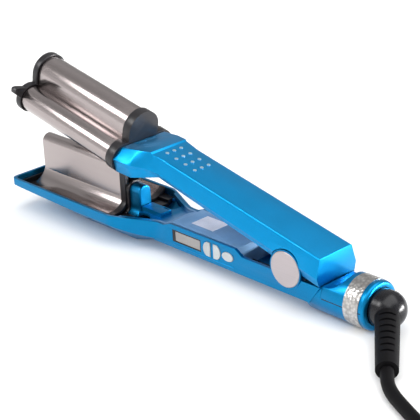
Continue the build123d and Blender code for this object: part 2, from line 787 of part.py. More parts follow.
with BuildPart() as handle_deck:
    add(jaw_form(jaw_wall + fit_gap, 60))
    add(handle_form(handle_wall + fit_gap, 60))
    add(prism_y(((X(-deck_front), deck_floor_z - deck_t), (X(-deck_front), deck_low_z),
                 (X(-step_front - 3), deck_low_z), (X(-step_front), deck_high_z), (X(-deck_rear), deck_high_z),
                 (X(-deck_rear), handle_floor_z + handle_wall + 0.2),
                 (X(-deck_rear - 1.6), handle_floor_z + handle_wall + 0.2),
                 (X(-deck_rear - 1.6), deck_high_z - deck_t), (X(-step_front + 0.5), deck_high_z - deck_t),
                 (X(-deck_floor_rear + 0.5), deck_floor_z - deck_t)), 40), mode=Mode.INTERSECT)
    add(tray_space.part, mode=Mode.SUBTRACT)
    # round openings beside the rib, with the wall left standing
    for turn in (1, -1):
        with BuildSketch(Plane.XY.offset(deck_floor_z - deck_t - 1)):
            with Locations((X(-recess_at), turn * recess_y)):
                Circle(recess_r)
        extrude(amount=deck_t + 1.5, mode=Mode.SUBTRACT)
    # slots and the seat of the label
    add(box(X(-rib_rear - 1), X(-rib_rear - 6), rib_half - 1.8, rib_half - 0.6, deck_low_z - 1.2,
            deck_low_z + 1), mode=Mode.SUBTRACT)
    add(box(X(-label_at - label_length / 2), X(-label_at + label_length / 2), label_y - label_width / 2,
            label_y + label_width / 2, deck_high_z - label_t, deck_high_z + 1), mode=Mode.SUBTRACT)
    # notch for the leads in the rear wall
    add(box(X(-deck_rear - 3), X(-deck_rear + 1), -6.2, 0.2, 0, handle_floor_z + handle_wall + 2.6),
        mode=Mode.SUBTRACT)
    for at in casing_screw_at:
        with Locations((X(-at), 0, (deck_high_z - 1 + handle_floor_z + handle_wall) / 2)):
            Cylinder(boss_r, deck_high_z - 1 - handle_floor_z - handle_wall - 0.3)
        with Locations((X(-at), 0, handle_floor_z + handle_wall)):
            Cylinder(screw_r, 18, mode=Mode.SUBTRACT)
write(handle_deck.part, "handle_deck")

with BuildPart() as label_plate:
    add(box(X(-label_at - label_length / 2 + 0.1), X(-label_at + label_length / 2 - 0.1),
            label_y - label_width / 2 + 0.1, label_y + label_width / 2 - 0.1,
            deck_high_z - label_t, deck_high_z + 0.1))
write(label_plate.part, "label_plate")

# ---------------------------------------------------------------- display, board and buttons
with BuildPart() as display_window:
    add(box(X(-display_at - display_length / 2 + 0.1), X(-display_at + display_length / 2 - 0.1),
            near_face + 0.3, near_inner, panel_z - display_height / 2 + 0.1,
            panel_z + display_height / 2 - 0.1))
write(display_window.part, "display_window")

with BuildPart() as display_module:
    add(box(X(-display_at - display_length / 2 - 0.8), X(-display_at + display_length / 2 + 0.8),
            near_inner + 0.05, board_y - board_t, panel_z - display_height / 2 - 0.6,
            panel_z + display_height / 2 + 0.1))
write(display_module.part, "display_module")

with BuildPart() as control_board:
    add(box(X(-board_front), X(-board_rear), board_y - board_t, board_y,
            panel_z - board_height / 2, panel_z + board_height / 2 - 0.3))
write(control_board.part, "control_board")

button_back = near_inner + running_gap + button_flange_t
with BuildPart() as tact_switches:
    for at in (button_down_at, button_up_at, power_at):
        add(box(X(-at) - 1.6, X(-at) + 1.6, button_back + button_travel + 0.1, board_y - board_t,
                panel_z - 1.6, panel_z + 1.6))
write(tact_switches.part, "tact_switches")

for name, node in (("down", "button_down"), ("up", "button_up"), ("power", "power_button")):
    with BuildPart() as button:
        add(button_bar(name, 0, near_face - button_proud, button_back))
        add(button_bar(name, button_flange, button_back - button_flange_t, button_back))
        face = button.faces().sort_by(Axis.Y)[0]
        fillet(face.edges(), radius=0.35)
    write(button.part, node)

# ---------------------------------------------------------------- hinge
with BuildPart() as hinge_pin:
    add(disc_y(pin_r, -ear_outer + cap_t, ear_outer - cap_t, hinge_x, hinge_z))
write(hinge_pin.part, "hinge_pin")


def hinge_cap(turn):
    """A round cap with a soft edge, in the seat of one ear."""
    seat = turn * (ear_outer - cap_t)
    crown = turn * (ear_outer + cap_dome - 0.2)
    with BuildPart() as cap:
        add(disc_y(cap_r, min(seat, crown), max(seat, crown), hinge_x, hinge_z))
        outer = cap.faces().sort_by(Axis.Y)[0 if turn < 0 else -1]
        fillet(outer.edges(), radius=cap_dome)
    return cap.part


write(hinge_cap(-1), "hinge_cap_near")
write(hinge_cap(1), "hinge_cap_far")

with BuildPart() as arm_spring:
    with BuildSketch(Plane.XY) as wires:
        for number in range(spring_turns):
            with Locations((spring_r, (number - (spring_turns - 1) / 2) * spring_wire * 0.96)):
                Circle(spring_wire / 2)
        with Locations((spring_r, 0)):
            Rectangle(spring_wire * 0.4, (spring_turns - 1) * spring_wire * 0.96)
    revolve(axis=Axis.Y)
    for y, tip_x, tip_z in ((-4.4, -13, 9.5), (4.4, -13, -10.5)):
        with BuildLine():
            leg = Line((0, y, spring_r if tip_z > 0 else -spring_r), (tip_x, y, tip_z))
        with BuildSketch(Plane(origin=leg @ 0, z_dir=leg % 0)):
            Circle(spring_wire / 2)
        sweep(path=leg.edge())
write(Location((hinge_x, 0, hinge_z)) * arm_spring.part, "arm_spring")


# ---------------------------------------------------------------- upper arm
arm_front_low_h = arm_belly_h + arm_belly_rise * arm_joint


def ledge_to_arm(ledge, arm):
    """A size just behind the ledge, on the straight way from the ledge's size to the arm's."""
    return ledge + (arm - ledge) * ledge_run / (ledge_at - arm_joint)


def arm_form(inset, drop, floor):
    """The closed arm: a long box with a shoulder that widens to the jaw. Drop lowers its underside."""
    rear = arm_rear + 12.0
    stations = (
        (-rear_cap_end, shoulder_top_half, shoulder_top_h, shoulder_half, shoulder_mid_h,
         shoulder_foot_half, shoulder_low_h),
        (-shoulder_rear, shoulder_rear_top_half, shoulder_rear_top_h, shoulder_rear_half, shoulder_rear_mid_h,
         shoulder_rear_foot_half, shoulder_rear_low_h),
        (-ledge_at, ledge_top_half, arm_top_h + ledge_rise, ledge_half, ledge_mid_h, ledge_foot_half,
         ledge_low_h),
        (-ledge_at + ledge_run, ledge_to_arm(ledge_top_half, arm_top_half), arm_top_h,
         ledge_to_arm(ledge_half, arm_low_half), ledge_to_arm(ledge_mid_h, arm_low_h + 2.0),
         ledge_to_arm(ledge_foot_half, arm_foot_half), ledge_to_arm(ledge_low_h, arm_front_low_h)),
        (-arm_joint, arm_top_half, arm_top_h, arm_low_half, arm_low_h + 2.0, arm_foot_half, arm_front_low_h),
        (rear, arm_top_half, arm_top_h, arm_low_half, arm_low_h, arm_foot_half,
         arm_belly_h - arm_belly_rise * rear),
    )
    with BuildPart() as form:
        for reach, top_half, top, half, mid, foot_half, foot in stations:
            low = foot + floor - drop
            side_in = inset * 1.05
            with BuildSketch(section(reach)):
                with BuildLine():
                    Polyline(
                        (-top_half + inset * 0.85, H(top - inset)), (-half + side_in, H(mid)),
                        (-foot_half + side_in, H(low)), (foot_half - side_in, H(low)),
                        (half - side_in, H(mid)), (top_half - inset * 0.85, H(top - inset)), close=True,
                    )
                make_face()
        loft(ruled=True)
        tail = arm_rear - inset
        add(prism_y(((X(tail - 6 * arm_rear_slope), H(arm_top_h + 6)),
                     (X(tail + 40 * arm_rear_slope), H(arm_top_h - 40)),
                     (X(-rear_cap_end - 5), H(arm_top_h - 40)), (X(-rear_cap_end - 5), H(arm_top_h + 6))), 40),
            mode=Mode.INTERSECT)
    return form.part


def below_seam():
    """The block under the seam between the arm's shells."""
    return prism_y(
        ((X(-rear_cap_end - 5), H(shoulder_seam_h)), (X(-rear_cap_end), H(shoulder_seam_h)),
         (X(-arm_joint), H(arm_belly_h + arm_belly_rise * arm_joint + seam_lift)),
         (X(-cover_rear), H(arm_belly_h + arm_belly_rise * cover_rear + seam_lift)),
         (X(-cover_rear), H(-40)), (X(-rear_cap_end - 5), H(-40))), 60)


def tunnel(grow, rear_wall):
    """The channel from below that the jaw bridge enters."""
    return box(X(-rear_cap_end - 5), X(-bridge_rear + 14 + rear_wall), -opening_half - grow, opening_half + grow,
               H(-30), H(opening_h + grow))


ear_space_near = disc_y(ear_r + ear_clearance, -30, -ear_inner + 0.15, hinge_x, hinge_z)
ear_space_far = disc_y(ear_r + ear_clearance, ear_inner - 0.15, 30, hinge_x, hinge_z)
arm_bosses = [(-at, 0) for at in arm_screw_at]

with BuildPart() as roof_hollow:
    add(arm_form(arm_wall, 8.0, 0))
    add(box(X(-rear_cap_end - 2), X(-rear_cap_end + 1.6), -40, 40, H(-20), H(40)), mode=Mode.SUBTRACT)

with BuildPart() as cover_hollow:
    add(arm_form(arm_wall, 0, 1.8))
    add(box(X(-rear_cap_end - 2), X(-rear_cap_end + 1.6), -40, 40, H(-20), H(40)), mode=Mode.SUBTRACT)
    add(tunnel(tunnel_wall, tunnel_wall), mode=Mode.SUBTRACT)

with BuildPart() as cover_zone:
    add(below_seam())
    add(tunnel(tunnel_wall, tunnel_wall))

with BuildPart() as upper_casing:
    add(arm_form(0, 0, 0))
    long_edges = [edge for edge in upper_casing.edges()
                  if edge.length > arm_joint / 2 and (edge @ 0.5).Z > H(arm_top_h) - 0.1]
    fillet(long_edges, radius=arm_edge_r)
    add(roof_hollow.part, mode=Mode.SUBTRACT)
    add(below_seam(), mode=Mode.SUBTRACT)
    add(tunnel(fit_gap + tunnel_wall, tunnel_wall), mode=Mode.SUBTRACT)
    add(ear_space_near, mode=Mode.SUBTRACT)
    add(ear_space_far, mode=Mode.SUBTRACT)
    # hinge lugs, carried by webs from the arm's roof
    for y0, y1 in ((-lug_outer, -lug_inner), (lug_inner, lug_outer)):
        add(disc_y(lug_r, y0, y1, hinge_x, hinge_z))
        add(box(X(-lug_r + 1), X(lug_r - 1), y0, y1, H(0), H(arm_top_h - 1)))
    add(disc_y(pin_r + running_gap, -20, 20, hinge_x, hinge_z), mode=Mode.SUBTRACT)
    # screw bosses under the roof
    for at in arm_screw_at:
        foot = H(arm_belly_h + arm_belly_rise * at + 2.0)
        with Locations((X(-at), 0, (foot + H(arm_top_h - 1)) / 2)):
            Cylinder(boss_r, H(arm_top_h - 1) - foot)
        with Locations((X(-at), 0, foot)):
            Cylinder(screw_r, 14, mode=Mode.SUBTRACT)
write_arm(upper_casing.part, "upper_casing")

with BuildPart() as upper_inner_cover:
    add(arm_form(0, 0, 0))
    add(cover_zone.part, mode=Mode.INTERSECT)
    add(cover_hollow.part, mode=Mode.SUBTRACT)
    add(tunnel(0, 0), mode=Mode.SUBTRACT)
    for at in arm_screw_at:
        with Locations((X(-at), 0, H(arm_belly_h + arm_belly_rise * at))):
            Cylinder(screw_head_r + 0.2, 2 * 0.9, mode=Mode.SUBTRACT)
            Cylinder(screw_r + 0.2, 20, mode=Mode.SUBTRACT)
write_arm(upper_inner_cover.part, "upper_inner_cover")

with BuildPart() as arm_screws:
    for at in arm_screw_at:
        foot = H(arm_belly_h + arm_belly_rise * at)
        with Locations((X(-at), 0, foot - 0.2)):
            Cylinder(screw_head_r, screw_head_t)
        with Locations((X(-at), 0, foot + 0.5 + arm_screw_length / 2)):
            Cylinder(screw_r, arm_screw_length)
write_arm(arm_screws.part, "arm_screws")

with BuildPart() as casing_screws:
    for at in casing_screw_at:
        with Locations((X(-at), 0, handle_floor_z + 0.1)):
            Cylinder(screw_head_r, screw_head_t)
        with Locations((X(-at), 0, handle_floor_z + 0.5 + casing_screw_length / 2)):
            Cylinder(screw_r, casing_screw_length)
write(casing_screws.part, "casing_screws")

with BuildPart() as grip_dots:
    with Locations((X(-dot_at), 0, H(arm_top_h) + dot_t / 2)):
        with GridLocations(dot_pitch_x, dot_pitch_y, 4, 3):
            Cylinder(dot_r, dot_t)
write_arm(grip_dots.part, "grip_dots")

# ---------------------------------------------------------------- leads and cord
with BuildPart() as power_leads:
    for y in lead_y:
        add(box(X(-lead_front), X(socket_front - 1), y - lead_half, y + lead_half,
                handle_floor_z + handle_wall + 0.05, handle_floor_z + handle_wall + 0.05 + lead_t))
write(power_leads.part, "power_leads")

cord_start = elbow + sleeve_path * (sleeve_end + face_gap)
cord_points = [
    (cord_start.X, cord_start.Y, cord_start.Z),
    (X(101.3), -46.95, 5.53), (X(106.7), -51.65, 4.7), (X(113.0), -55.6, 4.15), (X(125.0), -61.1, 3.85),
    (X(152.0), -73.3, 3.8), (X(182.6), -88.6, 3.8), (X(211.0), -105.6, 3.8),
]
tail_points = [(X(284.6), -64.0, 3.8), (X(284.6), -46.0, 3.8), (X(281.5), -28.0, 5.0), (X(275.5), -11.0, 6.4)]


def cord_tube(points, name):
    """A round cord along straight runs joined by tangent arcs."""
    vectors = [Vector(*p) for p in points]
    radii = []
    for before, here, after in zip(vectors, vectors[1:], vectors[2:]):
        half_turn = radians((here - before).get_angle(after - here)) / 2
        shorter = min((here - before).length, (after - here).length)
        radii.append(0.45 * shorter * cos(half_turn) / sin(half_turn))
    with BuildPart() as tube:
        with BuildLine() as route:
            FilletPolyline(*points, radius=radii)
        with BuildSketch(Plane(origin=route.line @ 0, z_dir=route.line % 0)):
            Circle(cord_r)
        sweep(path=route.wires()[0])
    length = route.wires()[0].length
    print(name, "radii", [round(r, 1) for r in radii], "length", round(length, 1),
          "volume share", round(tube.part.volume / (pi * cord_r ** 2 * length), 4))
    return tube.part, length


cord_part, cord_length = cord_tube(cord_points, "cord")
write(cord_part, "cord")
tail_part, tail_length = cord_tube(tail_points, "cord_tail")
write(tail_part, "cord_tail")

with BuildPart() as cord_coil:
    with BuildSketch(Plane.XZ) as bundle:
        with Locations((coil_mean_r, 1.5 * coil_pitch)):
            with GridLocations(coil_pitch, coil_pitch, 3, 3):
                Circle(cord_r + 0.02)
            Rectangle(2 * coil_pitch, 2 * coil_pitch)
    revolve(axis=Axis.Z)
write(Location((X(coil_x), coil_y, 0.05)) * cord_coil.part, "cord_coil")
print("coil length", round(9 * 2 * pi * coil_mean_r, 1), "total", round(9 * 2 * pi * coil_mean_r
      + cord_length + tail_length, 1))

plug_heading = (Vector(*tail_points[-1]) - Vector(*tail_points[-2])).normalized()
flat_heading = Vector(plug_heading.X, plug_heading.Y, 0).normalized()
plug_base = Vector(*tail_points[-1])
plug_plane = Plane(origin=(plug_base.X, plug_base.Y, 6.4), x_dir=flat_heading.cross(Vector(0, 0, 1)),
                   z_dir=flat_heading)
with BuildPart() as plug_body:
    with BuildSketch(plug_plane.offset(-0.5)):
        RectangleRounded(9.5, 9.5, 3)
    with BuildSketch(plug_plane.offset(plug_length * 0.45)):
        RectangleRounded(plug_width, plug_t, 4)
    loft()
    with BuildSketch(plug_plane.offset(plug_length * 0.45)):
        RectangleRounded(plug_width, plug_t, 4)
    extrude(amount=plug_length * 0.55)
write(plug_body.part, "plug_body")

with BuildPart() as plug_blades:
    with BuildSketch(plug_plane.offset(plug_length)):
        with GridLocations(blade_spacing, 1, 2, 1):
            Rectangle(blade_t, blade_height)
    extrude(amount=blade_length)
write(plug_blades.part, "plug_blades")
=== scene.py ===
"""Hair waver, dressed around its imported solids: casings, hot plates, trim, controls and cord."""
import math

import bpy
from mathutils import Matrix, Vector


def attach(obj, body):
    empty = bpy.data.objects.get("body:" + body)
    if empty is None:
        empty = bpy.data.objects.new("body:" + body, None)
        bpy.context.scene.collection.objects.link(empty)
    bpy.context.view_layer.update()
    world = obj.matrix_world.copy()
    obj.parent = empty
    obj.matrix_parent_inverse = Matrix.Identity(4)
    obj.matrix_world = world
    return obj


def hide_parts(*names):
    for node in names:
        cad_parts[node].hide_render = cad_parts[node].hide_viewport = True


bl_info = {
    "name": "Hair Waver",
    "version": (1, 0, 0),
    "blender": (4, 5, 0),
    "location": "3D View > Sidebar > Hair Waver",
    "description": "Dresses the hair waver's casings, plates, controls and cord",
    "category": "Object",
}

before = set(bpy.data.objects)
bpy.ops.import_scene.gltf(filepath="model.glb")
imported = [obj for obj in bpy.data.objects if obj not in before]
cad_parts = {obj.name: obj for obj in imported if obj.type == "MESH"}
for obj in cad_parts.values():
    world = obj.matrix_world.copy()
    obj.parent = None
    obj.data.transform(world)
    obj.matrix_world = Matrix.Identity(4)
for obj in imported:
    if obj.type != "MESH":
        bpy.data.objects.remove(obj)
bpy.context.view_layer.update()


# ---------------------------------------------------------------- settings
def colour(name, description, default):
    """A colour that the sidebar can change."""
    return bpy.props.FloatVectorProperty(
        name=name, description=description, subtype="COLOR", size=3, min=0, max=1, default=default)


def length(name, description, default, least=0.0):
    """A length in metres that the sidebar can change."""
    return bpy.props.FloatProperty(
        name=name, description=description, subtype="DISTANCE", unit="LENGTH", min=least, default=default)


class HairWaverPaint(bpy.types.PropertyGroup):
    lacquer: colour("Lacquer", "Blue of the casings", (0.0015, 0.255, 0.56))
    # painted reflection: the deck's grey blue stands in for the pale surroundings reflected in its lacquer
    deck: colour("Deck", "Grey blue of the handle's inner deck", (0.17, 0.32, 0.52))
    titanium: colour("Titanium", "Coating of the hot plates", (0.39, 0.345, 0.34))
    trim: colour("Trim", "Dark heat-resistant trim", (0.013, 0.012, 0.014))
    black: colour("Black", "Black plastic of the swivel and the display", (0.004, 0.004, 0.006))
    rubber: colour("Rubber", "Sleeve, cord and plug", (0.004, 0.0038, 0.0045))
    silver: colour("Silver", "Hinge caps", (0.47, 0.42, 0.425))
    band: colour("Band", "Hammered band round the collar", (0.56, 0.54, 0.52))
    dots: colour("Dots", "Grip dots", (0.60, 0.80, 0.90))
    steel: colour("Steel", "Pin, spring, screws and clamps", (0.46, 0.46, 0.47))
    button: colour("Button", "Buttons", (0.46, 0.49, 0.50))
    pane: colour("Pane", "Display, switched off", (0.26, 0.245, 0.235))
    label: colour("Label", "Bare label plate", (0.72, 0.72, 0.80))
    board: colour("Board", "Control board", (0.02, 0.12, 0.05))
    ceramic: colour("Ceramic", "Heaters and sensors", (0.62, 0.60, 0.56))
    brass: colour("Brass", "Blades of the plug", (0.72, 0.52, 0.22))


class HairWaverSizes(bpy.types.PropertyGroup):
    edge_round: length("Edge round", "Rounding of the moulded edges", 0.0006)
    cord_radius: length("Cord radius", "Half the diameter of the mains cord", 0.00375, least=0.001)
    coil_radius: length("Coil radius", "Radius of the coil's middle turns", 0.041, least=0.01)
    surround: length("Surround", "Thickness of the display's dark surround", 0.0002)
    bead_radius: length("Bead radius", "Raised line under the controls", 0.00032)
    seam_width: length("Seam width", "Dark joint between the collar's halves", 0.00055)
    seam_depth: length("Seam depth", "Thickness of the dark joint", 0.00014)
    ring_radius: length("Ring radius", "Roundness of the rings about the hinge caps", 0.00032)
    ring_gap: length("Ring gap", "From the edge of a hinge cap to the middle of its ring", 0.00048)


class HairWaverStage(bpy.types.PropertyGroup):
    distance: length("Camera distance", "From the camera to the point it looks at", 0.93893, least=0.1)
    lens: bpy.props.FloatProperty(
        name="Lens", description="Focal length in millimetres", unit="CAMERA", min=10, default=126.66)
    floor: length("Floor", "Side of the square floor", 14.0, least=1.0)


# ---------------------------------------------------------------- small tools
MERGE = 0.000002                    # vertices that lie closer than this become one


def only(piece):
    """Select one object alone and make it active."""
    bpy.ops.object.select_all(action="DESELECT")
    piece.select_set(True)
    bpy.context.view_layer.objects.active = piece


def apply_all(piece):
    """Apply every modifier."""
    only(piece)
    for modifier in list(piece.modifiers):
        bpy.ops.object.modifier_apply(modifier=modifier.name)


def settle(piece):
    """Put the object at the origin, with its place in its mesh."""
    only(piece)
    bpy.ops.object.transform_apply(location=True, rotation=True, scale=True)


def smooth(piece, angle):
    """Shade the faces that meet at less than an angle as one."""
    only(piece)
    bpy.ops.object.shade_smooth_by_angle(angle=math.radians(angle))


def corners(solid):
    """The lowest and the highest corner of a solid's box."""
    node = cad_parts[solid]
    places = [node.matrix_world @ vertex.co for vertex in node.data.vertices]
    low = Vector([min(place[axis] for place in places) for axis in range(3)])
    high = Vector([max(place[axis] for place in places) for axis in range(3)])
    return low, high


def finish_piece(piece, body, material, nodes=()):
    """Give a piece its material, its body and the solids that it stands for."""
    piece.data.materials.clear()
    piece.data.materials.append(material)
    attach(piece, body)
    if nodes:
        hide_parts(*nodes)
    return piece


def moulded(solid, name, width, pierced=False):
    """A piece in the shape of a solid, with its edges rounded as moulding leaves them.

    A pierced solid is only joined into faces of four corners, since one flat face can't go round an opening.
    """
    level = math.radians(0.6)       # faces that lie this flat to each other are joined
    sharp = math.radians(28)        # edges sharper than this are rounded
    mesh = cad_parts[solid].data.copy()
    mesh.name = name
    piece = bpy.data.objects.new(name, mesh)
    bpy.context.scene.collection.objects.link(piece)
    only(piece)
    bpy.ops.object.mode_set(mode="EDIT")
    bpy.ops.mesh.select_all(action="SELECT")
    bpy.ops.mesh.remove_doubles(threshold=MERGE)
    if pierced:
        bpy.ops.mesh.tris_convert_to_quads(face_threshold=level, shape_threshold=math.radians(60))
    else:
        bpy.ops.mesh.dissolve_limited(angle_limit=level)
    bpy.ops.object.mode_set(mode="OBJECT")
    bevel = piece.modifiers.new("Rounded edges", "BEVEL")
    bevel.width = width
    bevel.segments = 3
    bevel.limit_method = "ANGLE"
    bevel.angle_limit = sharp
    bevel.use_clamp_overlap = True
    bevel.miter_outer = "MITER_ARC"
    apply_all(piece)
    smooth(piece, 30)
    return piece


def block(name, low, high):
    """A straight block between two corners, drawn out from its lowest face."""
    bpy.ops.object.select_all(action="DESELECT")
    bpy.ops.mesh.primitive_plane_add(size=1.0, location=((low.x + high.x) / 2, (low.y + high.y) / 2, low.z))
    piece = bpy.context.object
    piece.name = name
    piece.scale = (high.x - low.x, high.y - low.y, 1)
    settle(piece)
    bpy.ops.object.mode_set(mode="EDIT")
    bpy.ops.mesh.select_all(action="SELECT")
    bpy.ops.mesh.extrude_region_move(TRANSFORM_OT_translate={"value": (0, 0, high.z - low.z)})
    bpy.ops.mesh.select_all(action="SELECT")
    bpy.ops.mesh.normals_make_consistent(inside=False)
    bpy.ops.object.mode_set(mode="OBJECT")
    return piece


def twin(piece, name, shift):
    """A copy of a piece with its own mesh, moved along Y."""
    mesh = piece.data.copy()
    mesh.name = name
    mesh.transform(Matrix.Translation((0, shift, 0)))
    copy = bpy.data.objects.new(name, mesh)
    bpy.context.scene.collection.objects.link(copy)
    return copy


# ---------------------------------------------------------------- materials: common parts
def empty_finish(name):
    """A new material with its node tree and its shader."""
    material = bpy.data.materials.new(name)
    material.use_nodes = True
    tree = material.node_tree
    shader = tree.nodes["Principled BSDF"]
    return material, tree, shader


def add_node(tree, kind, **inputs):
    """A shader node with some of its inputs set."""
    made = tree.nodes.new(kind)
    for key, value in inputs.items():
        made.inputs[key.replace("_", " ")].default_value = value
    return made


def object_space(tree, scale=(1, 1, 1)):
    """The object's own coordinates."""
    place = tree.nodes.new("ShaderNodeTexCoord")
    mapping = tree.nodes.new("ShaderNodeMapping")
    mapping.inputs["Scale"].default_value = scale
    tree.links.new(place.outputs["Object"], mapping.inputs["Vector"])
    return mapping.outputs["Vector"]


def noise(tree, scale, detail, rough=0.5, stretch=(1, 1, 1)):
    """Cloudy noise, from nought to one."""
    made = add_node(tree, "ShaderNodeTexNoise", Scale=scale, Detail=detail, Roughness=rough)
    tree.links.new(object_space(tree, stretch), made.inputs["Vector"])
    return made.outputs["Fac"]


def spread(tree, source, low, high, from_low=0.3, from_high=0.7):
    """Turn a pattern into a value between low and high."""
    made = add_node(
        tree, "ShaderNodeMapRange", From_Min=from_low, From_Max=from_high, To_Min=low, To_Max=high)
    tree.links.new(source, made.inputs["Value"])
    return made.outputs["Result"]


def two_tones(tree, source, first, second, low=0.35, high=0.65):
    """Turn a pattern into colours between two."""
    ramp = tree.nodes.new("ShaderNodeValToRGB")
    for stop, place, tone in zip(ramp.color_ramp.elements, (low, high), (first, second)):
        stop.position = place
        stop.color = (*tone, 1)
    tree.links.new(source, ramp.inputs["Fac"])
    return ramp.outputs["Color"]


def bump(tree, shader, source, strength, distance):
    """Raise the surface's shading by a pattern."""
    made = add_node(tree, "ShaderNodeBump", Strength=strength, Distance=distance)
    tree.links.new(source, made.inputs["Height"])
    tree.links.new(made.outputs["Normal"], shader.inputs["Normal"])


def shaded(tone, factor):
    """A darker or brighter tone of a colour."""
    return tuple(min(1.0, part * factor) for part in tone)


# ---------------------------------------------------------------- materials: finishes
FINISHES = {}


def lacquer(name, tone):
    """Metallic lacquer: fine flakes under a clear coat."""
    material, tree, shader = empty_finish(name)
    flakes = noise(tree, scale=5200, detail=2.0, rough=0.6)
    flecked = two_tones(tree, flakes, shaded(tone, 0.86), shaded(tone, 1.16))
    tree.links.new(flecked, shader.inputs["Base Color"])
    cloud = noise(tree, scale=45, detail=4.0)
    tree.links.new(spread(tree, cloud, 0.33, 0.41), shader.inputs["Roughness"])
    peel = noise(tree, scale=900, detail=2.0)
    bump(tree, shader, peel, strength=0.05, distance=0.0001)
    shader.inputs["Metallic"].default_value = 0.92
    shader.inputs["Coat Weight"].default_value = 0.06
    shader.inputs["Coat Roughness"].default_value = 0.06
    return material


def drawn_metal(name, tone, roughness, lines):
    """Coated metal with faint lines along the tool."""
    material, tree, shader = empty_finish(name)
    grain = noise(tree, scale=2600, detail=4.0, rough=0.55, stretch=(0.01, 1, 1))
    streaked = two_tones(tree, grain, shaded(tone, 0.95), shaded(tone, 1.04))
    tree.links.new(streaked, shader.inputs["Base Color"])
    tree.links.new(spread(tree, grain, roughness - 0.03, roughness + 0.04), shader.inputs["Roughness"])
    bump(tree, shader, grain, strength=lines, distance=0.00001)
    shader.inputs["Metallic"].default_value = 1.0
    return material


def plastic(name, tone, roughness, grain, depth, coat=0.0, gloss=0.5):
    """Moulded plastic with a fine spark-eroded grain."""
    material, tree, shader = empty_finish(name)
    cloud = noise(tree, scale=60, detail=4.0)
    tree.links.new(two_tones(tree, cloud, shaded(tone, 0.9), shaded(tone, 1.1)), shader.inputs["Base Color"])
    texture = noise(tree, scale=grain, detail=3.0)
    tree.links.new(spread(tree, texture, roughness - 0.05, roughness + 0.07), shader.inputs["Roughness"])
    bump(tree, shader, texture, strength=depth, distance=0.00008)
    shader.inputs["Coat Weight"].default_value = coat
    shader.inputs["Specular IOR Level"].default_value = gloss
    return material


def deck_painted_reflection(name, tone, front):
    """Satin plastic of the deck. Its grey blue is a painted reflection of the pale surroundings on its
    lacquer, and its front end is the lacquer darkened as painted shade.
    """
    painted_shade_end, painted_reflection_start = 0.040, 0.047     # along X, where the front end's painted shade gives way to the painted reflection, with the blend between them
    shine = 0.85                                # how metallic the lacquered end is
    material = plastic(name, tone, roughness=0.42, grain=1600, depth=0.1, gloss=0.15)
    tree = material.node_tree
    shader = tree.nodes["Principled BSDF"]
    # plain: the grey blue of the painted reflection
    plain = shader.inputs["Base Color"].links[0].from_socket
    place = tree.nodes.new("ShaderNodeSeparateXYZ")
    tree.links.new(object_space(tree), place.inputs[0])
    along = place.outputs["X"]
    blend = tree.nodes.new("ShaderNodeMix")
    blend.data_type = "RGBA"
    factor, first, second = blend.inputs[0], blend.inputs[6], blend.inputs[7]
    # the front end's darkened lacquer, which is painted shade
    first.default_value = (*front, 1)
    tree.links.new(spread(tree, along, 0.0, 1.0, painted_shade_end, painted_reflection_start), factor)
    tree.links.new(plain, second)
    tree.links.new(blend.outputs[2], shader.inputs["Base Color"])
    tree.links.new(spread(tree, along, shine, 0.0, painted_shade_end, painted_reflection_start), shader.inputs["Metallic"])
    return material


def hammered(name, tone):
    """Silver metal with small hammered facets."""
    material, tree, shader = empty_finish(name)
    dents = add_node(tree, "ShaderNodeTexVoronoi", Scale=520.0)
    tree.links.new(object_space(tree), dents.inputs["Vector"])
    depth = dents.outputs["Distance"]
    dented = two_tones(tree, depth, shaded(tone, 1.1), shaded(tone, 0.62), low=0.1, high=0.75)
    tree.links.new(dented, shader.inputs["Base Color"])
    bump(tree, shader, depth, strength=0.55, distance=0.0004)
    shader.inputs["Metallic"].default_value = 1.0
    shader.inputs["Roughness"].default_value = 0.33
    return material


def make_finishes():
    """Make every finish from the colours of the sidebar."""
    paint = bpy.context.scene.waver_paint
    FINISHES.update(
        lacquer=lacquer("blue_lacquer", paint.lacquer),
        # painted shade: the same blue lacquer darkened, standing in for the dimmer light on the handle's
        # walls
        lacquer_low=lacquer("blue_lacquer_painted_shade", shaded(paint.lacquer, 0.74)),
        # the deck's front end is the lacquer darkened by painted shade, and the rest is grey blue painted
        # reflection
        deck=deck_painted_reflection("deck_painted_reflection", paint.deck, front=shaded(paint.lacquer, 0.8)),
        titanium=drawn_metal("titanium_coating", paint.titanium, roughness=0.2, lines=0.07),
        silver=drawn_metal("satin_silver", paint.silver, roughness=0.36, lines=0.05),
        dots=drawn_metal("dot_silver", paint.dots, roughness=0.3, lines=0.07),
        steel=drawn_metal("spring_steel", paint.steel, roughness=0.3, lines=0.1),
        brass=drawn_metal("blade_brass", paint.brass, roughness=0.24, lines=0.1),
        hammered=hammered("hammered_silver", paint.band),
        trim=plastic("heat_trim", paint.trim, roughness=0.33, grain=1500, depth=0.16, gloss=0.4),
        black=plastic("black_satin", paint.black, roughness=0.24, grain=1800, depth=0.08, gloss=0.36),
        rubber=plastic("cord_rubber", paint.rubber, roughness=0.6, grain=2200, depth=0.15, gloss=0.1),
        white=plastic("button_white", paint.button, roughness=0.32, grain=2200, depth=0.05),
        pane=plastic("display_pane", paint.pane, roughness=0.12, grain=2600, depth=0.02, coat=0.6),
        plate=plastic("label_silver", paint.label, roughness=0.3, grain=2600, depth=0.03),
        board=plastic("board_green", paint.board, roughness=0.35, grain=900, depth=0.1),
        ceramic=plastic("heater_ceramic", paint.ceramic, roughness=0.55, grain=1200, depth=0.2),
    )


# ---------------------------------------------------------------- cord
CORD_ROUTE = [
    (0.25466, -0.04137, 0.00664), (0.2593, -0.04695, 0.00553), (0.2647, -0.05165, 0.0047),
    (0.2710, -0.0556, 0.00415), (0.2830, -0.0611, 0.00385), (0.3100, -0.0733, 0.0038),
    (0.3406, -0.0886, 0.0038),
]
TAIL_ROUTE = [(0.4426, -0.0460, 0.0038), (0.4395, -0.0280, 0.0050), (0.4335, -0.0110, 0.0064)]
COIL_CENTRE = Vector((0.394, -0.064, 0.0))
COIL_START = math.atan2(-0.857, -0.515)


